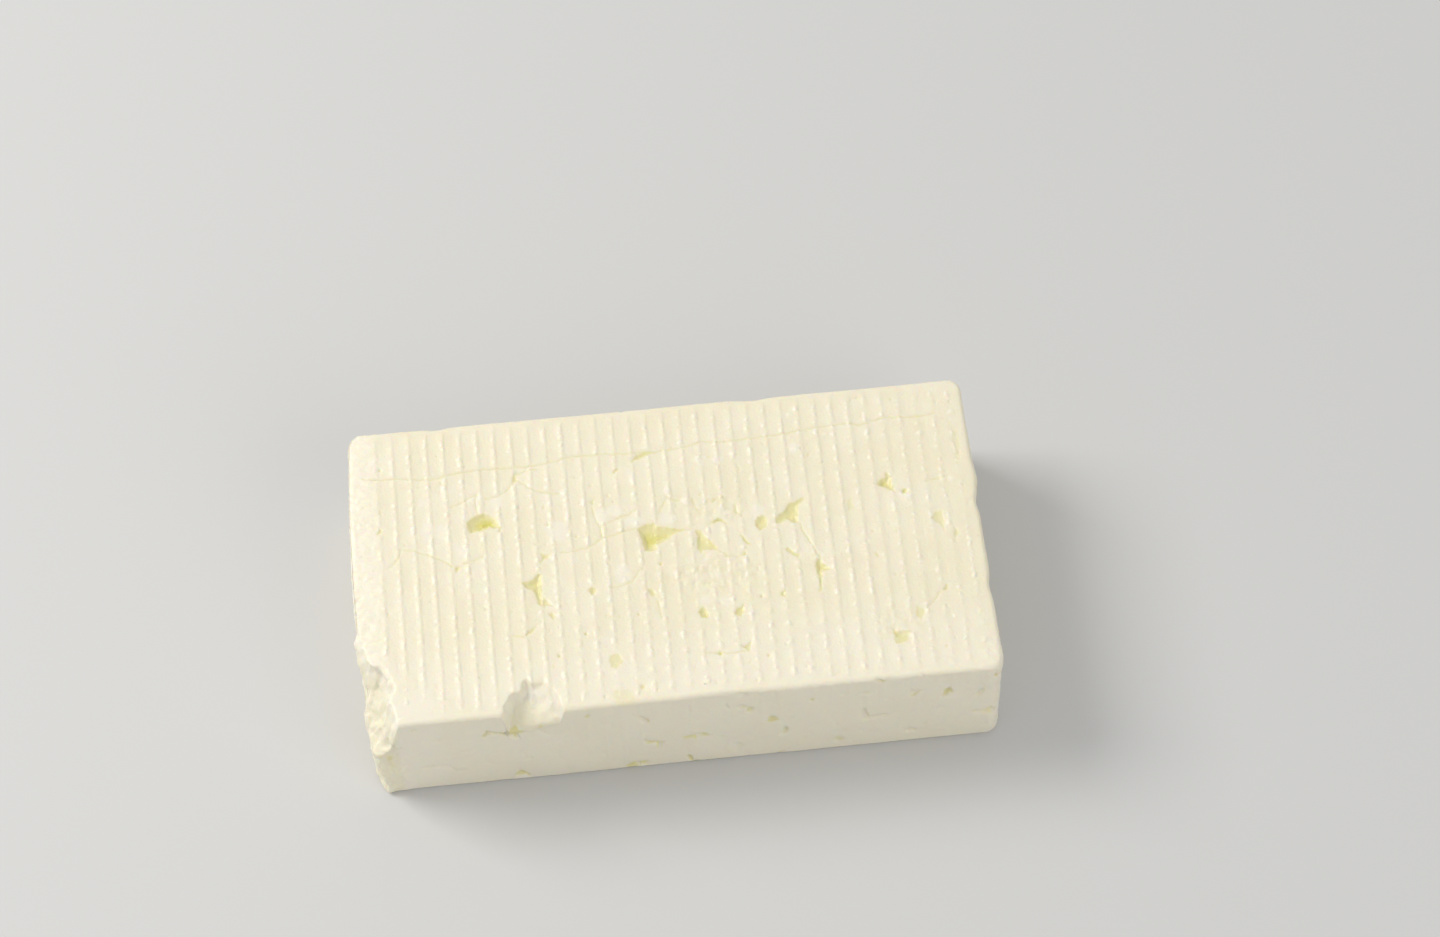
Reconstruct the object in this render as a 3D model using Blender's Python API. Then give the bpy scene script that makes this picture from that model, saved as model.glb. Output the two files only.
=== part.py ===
"""A feta block: one solid of white brined cheese, pressed in a ribbed mould.

The block lies flat with its ribbed face up. Its origin is at the middle of its base,
+X runs along its length and +Y towards its back. Lengths below are in millimetres.
"""
from collections import namedtuple
from math import cos, pi, radians, sin

import bmesh
import bpy
import numpy as np
from mathutils import Vector
from mathutils.geometry import delaunay_2d_cdt

MM = 0.001

# Driving dimensions
LENGTH = 250.0
WIDTH = 132.0
HEIGHT = 58.0
RIDGE_COUNT = 35
RIDGE_PITCH = 6.78
RIDGE_HEIGHT = 0.55
RIDGE_WIDTH = 1.3
FIRST_RIDGE_X = -112.6
EDGE_ROUNDING = 2.4
BASE_ROUNDING = 2.5
SEAM_WIDTH = 0.9
SEAM_DEPTH = 0.45

HALF_LENGTH = LENGTH / 2
HALF_WIDTH = WIDTH / 2
FACE_HEIGHT = HEIGHT - RIDGE_HEIGHT
RIGHT_END_X = 124.1
LEFT_BULGE_Y = 8.0
RIGHT_BUMP_Y = 20.0
CORNER_RADIUS = 3.0
OUTLINE_STEP = 4.0
RIDGE_STEP = 6.4
BACK_RIDGE_END = 63.2
FRONT_RIDGE_END = -62.6
WALL_LEVELS = (0.68, 0.36)
SWELL = 0.22
WALL_SWELL = 0.45
TORN_END_SWELL = 1.1

CHEESE_COLOUR = (0.885, 0.815, 0.610, 1.0)
CHEESE_ROUGHNESS = 0.42

# A gap is a pit left open between curd grains: where its middle is, how far its corners
# reach, how many corners it has, the way the first one points in degrees, how much longer
# the gap is that way, how far its sides curve in, and its depth.
Gap = namedtuple("Gap", "x y reach corners turn stretch bow depth")
GAPS = (
    Gap(-71.7, 19.6, 7.2, 2, -10, 1.0, 0.40, 4.6),
    Gap(-68.6, 18.2, 4.2, 3, -25, 1.0, 0.30, 6.4),
    Gap(-54.2, -8.6, 5.4, 3, -73, 1.5, 0.52, 5.2),
    Gap(-48.6, -20.4, 5.2, 2, -60, 1.0, 0.72, 1.7),
    Gap(-6.4, 7.0, 6.6, 3, -97, 1.0, 0.46, 5.4),
    Gap(4.6, 8.5, 8.0, 2, -3, 1.0, 0.80, 2.2),
    Gap(15.6, 2.6, 5.4, 4, 35, 1.2, 0.30, 1.3),
    Gap(51.0, 11.0, 5.6, 3, 44, 1.6, 0.50, 3.6),
    Gap(37.2, 8.2, 3.0, 5, 10, 1.0, 0.14, 2.1),
    Gap(88.2, 21.0, 4.8, 3, -57, 1.0, 0.46, 4.0),
    Gap(94.9, 15.3, 1.5, 5, 0, 1.0, 0.12, 1.4),
    Gap(-58.6, 38.2, 3.4, 3, 80, 1.2, 0.55, 2.6),
    Gap(-8.9, 42.6, 6.4, 2, 16, 1.0, 0.58, 3.0),
    Gap(-18.1, 37.6, 2.8, 3, 62, 1.2, 0.55, 2.0),
    Gap(-83.3, 0.6, 3.3, 3, -92, 1.2, 0.55, 2.6),
    Gap(-83.8, -6.8, 6.2, 2, -91, 1.0, 0.82, 1.3),
    Gap(-49.4, 2.0, 4.0, 3, 12, 1.2, 0.66, 1.8),
    Gap(57.6, -14.4, 6.2, 2, 99, 1.0, 0.62, 3.4),
    Gap(29.6, 1.8, 3.6, 3, 68, 1.2, 0.55, 2.6),
    Gap(46.8, -5.6, 4.8, 2, -32, 1.0, 0.64, 2.2),
    Gap(-31.7, -14.6, 2.4, 4, 0, 1.0, 0.34, 2.5),
    Gap(-8.5, -18.4, 2.3, 5, 20, 1.0, 0.14, 1.3),
    Gap(10.6, -28.2, 2.9, 4, 20, 1.0, 0.28, 3.0),
    Gap(24.5, -29.8, 3.0, 4, 50, 1.0, 0.30, 1.9),
    Gap(42.2, -23.4, 2.8, 3, 82, 1.1, 0.45, 3.0),
    Gap(-25.0, -46.6, 3.2, 5, 5, 1.0, 0.14, 2.6),
    Gap(106.8, 2.0, 3.8, 4, 92, 1.2, 0.26, 1.1),
    Gap(112.6, -3.6, 3.1, 3, -84, 1.2, 0.46, 1.6),
    Gap(-113.1, 20.4, 2.1, 4, 30, 1.0, 0.28, 1.8),
    Gap(85.4, -47.2, 4.8, 3, -96, 1.0, 0.40, 1.3),
    Gap(94.2, -38.4, 3.2, 4, 30, 1.1, 0.34, 0.9),
    Gap(-57.0, -30.0, 4.8, 2, 36, 1.0, 0.76, 1.6),
    Gap(26.2, -45.4, 3.0, 3, 42, 1.2, 0.55, 1.6),
    Gap(105.8, -28.0, 2.9, 4, 38, 1.2, 0.36, 1.2),
    Gap(29.4, 36.4, 3.9, 2, -68, 1.0, 0.76, 1.1),
    Gap(59.1, 37.6, 3.0, 2, 66, 1.0, 0.74, 1.0),
    Gap(-22.7, -60.8, 5.0, 2, 4, 1.0, 0.46, 0.9),
    Gap(-29.4, 24.6, 2.7, 3, 66, 1.2, 0.50, 1.4),
    Gap(29.2, 13.8, 3.2, 3, -50, 1.2, 0.58, 1.6),
)

# A seam is a fine crack where two curds met. Its points are (x, y).
SEAMS = (
    ((-118, 45), (-88, 44), (-53, 43), (-20, 44.5), (2, 46), (44, 47.5), (76, 50), (113, 51)),
    ((-106, 11), (-96, 9), (-86, 2)),
    ((-80, 2), (-72, 5)),
    ((-86, 31), (-73, 33), (-63, 35)),
    ((-28, 23), (-25, 9), (-12, 11)),
    ((53, 5), (57, -6)),
    ((-69, -32), (-61, -32)),
    ((96, -36), (104, -30)),
)

# A break is a piece knocked off the rim of the block. Its floor starts at depth under its
# rim, and falls away by the slope: so many millimetres down for each one along x and y.
Break = namedtuple("Break", "rim lip depth slope start")
CORNER_BREAK = Break(
    rim=((-140, -12), (-125, -19), (-121.4, -30), (-118, -36), (-114, -39), (-111.4, -44),
         (-110.8, -50), (-112.4, -54), (-110, -62), (-110, -80), (-140, -80)),
    lip=2.0, depth=6.0, slope=(-1.0, -0.42), start=(-112, -40))
FRONT_BREAK = Break(
    rim=((-72, -80), (-70.5, -62), (-69, -57), (-65, -54.6), (-61.8, -50.6), (-57, -52.2),
         (-54, -49.4), (-50, -56), (-47.6, -64), (-46, -80)),
    lip=2.6, depth=2.4, slope=(-0.16, -0.55), start=(-50, -50))
BREAKS = (CORNER_BREAK, FRONT_BREAK)


def clear_scene():
    """Remove every object from the scene."""
    for item in list(bpy.data.objects):
        bpy.data.objects.remove(item, do_unlink=True)


def hump(value, middle, width):
    """A smooth hump, 1 at its middle and fading over its width."""
    return np.exp(-((value - middle) / width) ** 2)


def left_end(y):
    """Where the bulging left end lies at y."""
    return -HALF_LENGTH + 2.0 * ((y - LEFT_BULGE_Y) / 60) ** 2


def right_end(y):
    """Where the right end lies at y: nearly straight, with a bump and two notches."""
    bump = (HALF_LENGTH - RIGHT_END_X) * hump(y, RIGHT_BUMP_Y, 6)
    return RIGHT_END_X + bump - 0.9 * hump(y, 9, 4) - 0.8 * hump(y, -29, 4)


def back_side(x):
    """Where the back side lies at x: straight, with two shallow dips."""
    return HALF_WIDTH - 0.7 * hump(x, -88, 4) - 0.8 * hump(x, 40, 5)


def front_side(x):
    """Where the front side lies at x."""
    return -HALF_WIDTH + 0.4 * hump(x, 18, 16)


def corner_arc(x, y, first_angle):
    """Points of a quarter-round corner, with the centre of its arc at x, y."""
    angles = [radians(first_angle + 90 * step / 3) for step in (0.5, 1.5, 2.5)]
    return [(x + CORNER_RADIUS * cos(a), y + CORNER_RADIUS * sin(a)) for a in angles]


def plan_outline():
    """The block's outline seen from above, anticlockwise from its front-left corner."""
    reach_x = HALF_LENGTH - CORNER_RADIUS - 2
    reach_y = HALF_WIDTH - CORNER_RADIUS - 1
    along_x = np.arange(-reach_x, reach_x + 0.1, OUTLINE_STEP * reach_x / 120)
    along_y = np.arange(-60.0, 60.1, OUTLINE_STEP)
    points = [(x, front_side(x)) for x in along_x]
    points += corner_arc(right_end(-reach_y) - CORNER_RADIUS, -HALF_WIDTH + CORNER_RADIUS, -90)
    points += [(right_end(y), y) for y in along_y]
    points += corner_arc(right_end(reach_y) - CORNER_RADIUS, HALF_WIDTH - CORNER_RADIUS, 0)
    points += [(x, back_side(x)) for x in along_x[::-1]]
    points += corner_arc(left_end(reach_y) + CORNER_RADIUS, HALF_WIDTH - CORNER_RADIUS, 90)
    points += [(left_end(y), y) for y in along_y[::-1]]
    points += corner_arc(left_end(-reach_y) + CORNER_RADIUS, -HALF_WIDTH + CORNER_RADIUS, 180)
    return np.array(points)


def inset(loop, distance):
    """The closed loop moved to its left, by one distance or by one for each point."""
    along = np.roll(loop, -1, axis=0) - np.roll(loop, 1, axis=0)
    along /= np.linalg.norm(along, axis=1)[:, None]
    return loop + np.reshape(distance, (-1, 1)) * np.c_[-along[:, 1], along[:, 0]]


def distance_to(points, line, closed=False):
    """Distance from each point to the nearest stretch of a line."""
    line = np.asarray(line, float)
    starts = line if closed else line[:-1]
    ends = np.roll(line, -1, axis=0) if closed else line[1:]
    nearest = np.full(len(points), np.inf)
    for start, end in zip(starts, ends):
        run = end - start
        share = np.clip((points - start) @ run / (run @ run), 0, 1)
        gap = points - start - share[:, None] * run
        nearest = np.minimum(nearest, np.hypot(gap[:, 0], gap[:, 1]))
    return nearest


def is_inside(points, loop):
    """Whether each point lies inside a closed loop."""
    loop = np.asarray(loop, float)
    inside = np.zeros(len(points), bool)
    for start, end in zip(loop, np.roll(loop, -1, axis=0)):
        spans = (start[1] > points[:, 1]) != (end[1] > points[:, 1])
        if not spans.any():
            continue
        crossing = start[0] + (points[:, 1] - start[1]) * (end[0] - start[0]) / (end[1] - start[1])
        inside ^= spans & (points[:, 0] < crossing)
    return inside


def gap_rim(gap, angle):
    """How far a gap's rim is from its middle, at angles from its first corner."""
    share = np.mod(angle, 2 * pi / gap.corners) * gap.corners / (2 * pi)
    return gap.reach * (1 - gap.bow * np.sin(pi * share) ** 0.7)


def gap_point(gap, angle, share):
    """A point of a gap: at an angle from its first corner, at a share of its rim."""
    away = share * gap_rim(gap, angle)
    along, across = away * cos(angle) * gap.stretch, away * sin(angle)
    turn = radians(gap.turn)
    return (gap.x + along * cos(turn) - across * sin(turn),
            gap.y + along * sin(turn) + across * cos(turn))


def gap_share(gap, points):
    """How far out in a gap each point is: 0 at its middle and 1 at its rim."""
    turn = radians(gap.turn)
    offset = points - (gap.x, gap.y)
    along = (offset[:, 0] * cos(turn) + offset[:, 1] * sin(turn)) / gap.stretch
    across = -offset[:, 0] * sin(turn) + offset[:, 1] * cos(turn)
    return np.hypot(along, across) / gap_rim(gap, np.arctan2(across, along))


def ridge_front_end(x):
    """Where a ridge stops in front: the corner at front left is worn smooth."""
    worn = np.interp(x, (-112.6, -105.8, -99.0, -92.3, -85.5), (-34.0, -44.0, -52.0, -56.0, -60.0))
    return worn if x < -85 else FRONT_RIDGE_END


def ridge_strength(points):
    """How tall the ridges stand at each point, from 0 to 1."""
    x, y = points.T
    smooth_middle = np.exp(-((x - 19) / 13) ** 2 - ((y + 13) / 9) ** 2)
    strength = 1 - 0.8 * smooth_middle
    strength *= np.interp(x, (-114, -96, 100, 118), (0.55, 1.0, 1.0, 0.6))
    for gap in GAPS:
        strength *= np.clip((gap_share(gap, points) - 1) / 0.3, 0, 1)
    return strength


def face_height(points):
    """The height of the ribbed face without its ridges: swells, edges, gaps and seams."""
    x, y = points.T
    height = FACE_HEIGHT - SWELL + SWELL * np.sin(x / 23 + 1.3) * np.sin(y / 17 + 0.4)
    height -= 1.4 * np.clip((-112 - x) / 12, 0, 1) ** 1.5
    edge = np.clip(1 - distance_to(points, plan_outline(), closed=True) / EDGE_ROUNDING, 0, 1)
    height -= EDGE_ROUNDING * (1 - np.sqrt(1 - 0.85 * edge ** 2))
    cut = np.zeros(len(points))
    for seam in SEAMS:
        cut = np.maximum(cut, SEAM_DEPTH * (1 - 2 * distance_to(points, seam) / SEAM_WIDTH))
    for gap in GAPS:
        cut = np.maximum(cut, gap.depth * np.clip((1 - gap_share(gap, points)) / 0.5, 0, 1))
    height -= cut
    for piece in BREAKS:
        way_in = np.clip(distance_to(points, piece.rim) / piece.lip, 0, 1)
        fall = (points - piece.start) @ np.array(piece.slope)
        floor = piece.depth + np.maximum(fall, 0)
        broken = is_inside(points, piece.rim)
        height = np.where(broken, np.minimum(height, FACE_HEIGHT - way_in * floor), height)
    return height


def shape_lines(outline):
    """The lines that the face's triangles follow, each a list of points."""
    lines = [list(outline) + [outline[0]]]
    ring = [tuple(p) for p in inset(outline, EDGE_ROUNDING)]
    lines.append(ring + [ring[0]])
    for number in range(RIDGE_COUNT):
        x = FIRST_RIDGE_X + number * RIDGE_PITCH
        front = ridge_front_end(x)
        rows = round((BACK_RIDGE_END - front) / RIDGE_STEP)
        for across in (-0.5, 0, 0.5):
            spread = across * RIDGE_WIDTH
            lines.append([(x + spread, y) for y in np.linspace(front, BACK_RIDGE_END, rows + 1)])
    for seam in SEAMS:
        line = np.array(seam, float)
        along = np.gradient(line, axis=0)
        aside = np.c_[-along[:, 1], along[:, 0]] / np.linalg.norm(along, axis=1)[:, None]
        for side in (-0.5, 0, 0.5):
            lines.append([tuple(p) for p in line + side * SEAM_WIDTH * aside])
    for gap in GAPS:
        steps = gap.corners * {2: 4, 3: 3}.get(gap.corners, 2)
        turns = [2 * pi * step / steps for step in range(steps + 1)]
        for share in (1.0, 0.5):
            lines.append([gap_point(gap, angle, share) for angle in turns])
    for piece in BREAKS:
        lines.append(list(piece.rim))
        lines.append([tuple(p) for p in inset(np.array(piece.rim, float), -piece.lip)])
    return lines


def triangulated_face():
    """Points and triangles of the ribbed face, with their heights."""
    outline = plan_outline()
    points, edges = [], []
    for line in shape_lines([tuple(p) for p in outline]):
        first = len(points)
        points += [Vector((float(p[0]), float(p[1]))) for p in line]
        edges += [(first + step, first + step + 1) for step in range(len(line) - 1)]
    flat, _, triangles = delaunay_2d_cdt(points, edges, [], 0, 0.06)[:3]
    flat = np.array([tuple(p) for p in flat])
    middles = flat[np.array(triangles)].mean(axis=1)
    kept = [t for t, inside in zip(triangles, is_inside(middles, outline)) if inside]
    ridge_number = np.round((flat[:, 0] - FIRST_RIDGE_X) / RIDGE_PITCH)
    off_crest = np.abs(flat[:, 0] - FIRST_RIDGE_X - ridge_number * RIDGE_PITCH)
    profile = np.clip(1 - 2 * off_crest / RIDGE_WIDTH, 0, 1)
    front = np.array([ridge_front_end(x) for x in flat[:, 0]])
    fade = np.clip((flat[:, 1] - front) / 3, 0, 1) * np.clip((BACK_RIDGE_END - flat[:, 1]) / 3, 0, 1)
    on_ridge = (ridge_number >= 0) & (ridge_number < RIDGE_COUNT)
    ridge = RIDGE_HEIGHT * profile * fade * on_ridge * ridge_strength(flat)
    for piece in BREAKS:
        ridge[is_inside(flat, piece.rim)] = 0
    return np.c_[flat, face_height(flat) + ridge], kept


def boundary_loop(mesh):
    """The vertices round an open mesh, in order."""
    edge = next(e for e in mesh.edges if e.is_boundary)
    start, vertex = edge.verts
    loop = [start]
    while vertex is not start:
        loop.append(vertex)
        edge = next(e for e in vertex.link_edges if e.is_boundary and e is not edge)
        vertex = edge.other_vert(vertex)
    return loop


def wall_swell(x, y, share):
    """How far in the wall lies from the outline above it; the left end is torn and rough."""
    wave = 0.5 + 0.5 * sin(x / 11 + 9 * share) * cos(y / 9 - 7 * share)
    return wave * (TORN_END_SWELL if x < -118 else WALL_SWELL)


def add_ring(mesh, above, points):
    """Add a ring of vertices at points, joined by faces to the ring above it."""
    ring = [mesh.verts.new(p) for p in points]
    for step, vertex in enumerate(ring):
        mesh.faces.new((above[step - 1], above[step], vertex, ring[step - 1]))
    return ring


def add_walls(mesh):
    """Build the walls from the face's rim down to the flat base."""
    rim = boundary_loop(mesh)
    plan = np.array([(v.co.x, v.co.y) for v in rim])
    area = np.sum(plan[:, 0] * np.roll(plan[:, 1], -1) - plan[:, 1] * np.roll(plan[:, 0], -1))
    if area < 0:
        rim, plan = rim[::-1], plan[::-1]
    tops = [v.co.z for v in rim]
    ring = rim
    for share in WALL_LEVELS:
        places = inset(plan, [wall_swell(x, y, share) for x, y in plan])
        ring = add_ring(mesh, ring, [(x, y, share * top) for (x, y), top in zip(places, tops)])
    for depth, height in ((WALL_SWELL, BASE_ROUNDING), (BASE_ROUNDING, 0)):
        ring = add_ring(mesh, ring, [(p[0], p[1], height) for p in inset(plan, depth)])
    mesh.faces.new(ring)


def cheese_material():
    """Moist ivory-white cheese."""
    material = bpy.data.materials.new("feta")
    material.use_nodes = True
    shader = material.node_tree.nodes["Principled BSDF"]
    shader.inputs["Base Color"].default_value = CHEESE_COLOUR
    shader.inputs["Roughness"].default_value = CHEESE_ROUGHNESS
    shader.inputs["Metallic"].default_value = 0.0
    return material


def build_block():
    """The whole block as one closed solid."""
    points, triangles = triangulated_face()
    mesh = bmesh.new()
    used = sorted({corner for triangle in triangles for corner in triangle})
    vertices = {number: mesh.verts.new(points[number]) for number in used}
    for triangle in triangles:
        mesh.faces.new([vertices[corner] for corner in triangle])
    add_walls(mesh)
    bmesh.ops.scale(mesh, vec=(MM, MM, MM), verts=mesh.verts)
    bmesh.ops.recalc_face_normals(mesh, faces=mesh.faces)
    data = bpy.data.meshes.new("feta_block")
    mesh.to_mesh(data)
    mesh.free()
    data.materials.append(cheese_material())
    block = bpy.data.objects.new("feta_block", data)
    bpy.context.collection.objects.link(block)
    return block


clear_scene()
build_block()
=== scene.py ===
"""The look of a feta block: its mould-ribbed face, curd gaps, seams and broken rims.

Lengths below are in millimetres, in the frame's own axes, and the meshes are made in metres.
"""

from collections import namedtuple
from itertools import product
from math import cos, radians, sin

import bpy
import numpy as np
from mathutils import Matrix, Vector


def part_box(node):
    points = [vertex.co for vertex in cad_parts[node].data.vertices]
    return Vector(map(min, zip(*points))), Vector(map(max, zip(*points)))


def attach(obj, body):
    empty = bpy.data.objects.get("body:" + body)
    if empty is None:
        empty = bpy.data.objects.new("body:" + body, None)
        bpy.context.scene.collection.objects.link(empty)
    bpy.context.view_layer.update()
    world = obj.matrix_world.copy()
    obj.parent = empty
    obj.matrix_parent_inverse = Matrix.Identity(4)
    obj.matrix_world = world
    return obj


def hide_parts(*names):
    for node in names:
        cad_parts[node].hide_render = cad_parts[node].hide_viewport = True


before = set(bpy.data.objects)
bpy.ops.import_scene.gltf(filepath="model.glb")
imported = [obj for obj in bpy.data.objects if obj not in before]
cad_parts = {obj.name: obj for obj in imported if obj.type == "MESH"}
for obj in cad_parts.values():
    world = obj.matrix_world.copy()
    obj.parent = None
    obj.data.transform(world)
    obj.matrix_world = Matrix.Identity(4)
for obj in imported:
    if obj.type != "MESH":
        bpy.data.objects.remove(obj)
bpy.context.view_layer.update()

MM = 0.001
LOW, HIGH = (np.array(corner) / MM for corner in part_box("feta_block"))
HALF_LENGTH = (HIGH[0] - LOW[0]) / 2
HALF_WIDTH = (HIGH[1] - LOW[1]) / 2
HEIGHT = HIGH[2]

# The ridges that the mould left: a low bar on each crest, and a shallow dish between crests
RIDGE_COUNT = 35
RIDGE_PITCH = 6.78
FIRST_RIDGE_X = -112.6
RIDGE_HEIGHT = 0.24
RIDGE_REACH = 1.3
DISH_DEPTH = 0.08
BACK_RIDGE_END = 63.6
FRONT_RIDGE_END = -63.0
FACE_HEIGHT = HEIGHT - RIDGE_HEIGHT

# The ridges in front are a chain of knots that lie in rows: one row's y, and the rows' spacing
KNOT_ROW_Y = -31.0
KNOT_PITCH = 7.0

# At places along x: how wide a bar is on its right, and how much of its height it keeps
BAR_WIDTHS = ((-110, 0, 60, 90, 118), (0.46, 0.46, 0.6, 0.78, 0.95))
BAR_WEAR = ((-114, -106, 70, 90, 105, 118), (0.5, 1.0, 1.0, 0.8, 0.6, 0.35))
LEFT_SIDE_WIDENING = 3.6

# How unevenly the bars swell into beads, and how little beyond the seam along the back
BEADING = 0.6
BACK_BEADING = 0.15

# At places along x: the y where the ridges stop at the worn corner, front left
WORN_CORNER = ((-112.6, -105.8, -99.0, -92.3, -85.5), (-34.0, -45.0, -52.0, -57.0, -61.0))
WORN_CORNER_END_X = -85

# The block's outline and edges
RIGHT_END_X = HALF_LENGTH - 0.9
LEFT_BULGE = 2.0
LEFT_BULGE_Y = 8.0
LEFT_BULGE_REACH = 60
RIGHT_BUMP_Y = 20.0
RIGHT_BUMP_WIDTH = 6
CORNER_RADIUS = 6.0
EDGE_ROUNDING = 2.6
BASE_ROUNDING = 2.4
OUTLINE_REACH = 9.0

# Dips in the sides: the middle, width and depth of each
RIGHT_DIPS = ((9, 4, 0.9), (-29, 4, 0.8))
BACK_DIPS = ((-88, 4, 0.7), (40, 5, 0.8))
FRONT_DIPS = ((18, 16, 0.4),)

# The face's slow swells, and the slope down to its worn left end
SWELL = 0.2
SHOULDER_X = -112
SHOULDER_REACH = 12
SHOULDER_DROP = 1.1

# Layers of unevenness: the height, size and random seed of each
FACE_LAYERS = ((0.14, 9.0, 22), (0.045, 2.4, 23))
LUMP_LAYERS = ((0.34, 3.4, 24), (0.22, 1.6, 25))

# The walls: how far in they lie, their curd joints and the mould's ribs on them
WALL_INSET = 0.35
JOINT_SPACING = 13.0
JOINT_DEPTH = 1.6
CRACK_DEPTH = 0.14
WALL_RIB_HEIGHT = 0.18
WALL_RIB_WIDTH = 0.8

# Spacing of the mesh before it is thinned, and how many triangles are kept
COLUMNS_ON_RIDGE = 8
COLUMNS_BETWEEN = 8
ROW_STEP = 0.5
EDGE_STEP = 0.5
WALL_STEP = 0.9
KEPT_TRIANGLES = 196000

SEAM_WIDTH = 1.0
SEAM_DEPTH = 0.24

# A gap's walls: their slope at the rim, how they steepen, and how far in they are wet
GAP_WALL_SLOPE = 0.35
GAP_WALL_CURVE = 0.18
WET_REACH = 0.8
FULLY_WET_DEPTH = 1.2

CURD_SIZE = 7.5

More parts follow.
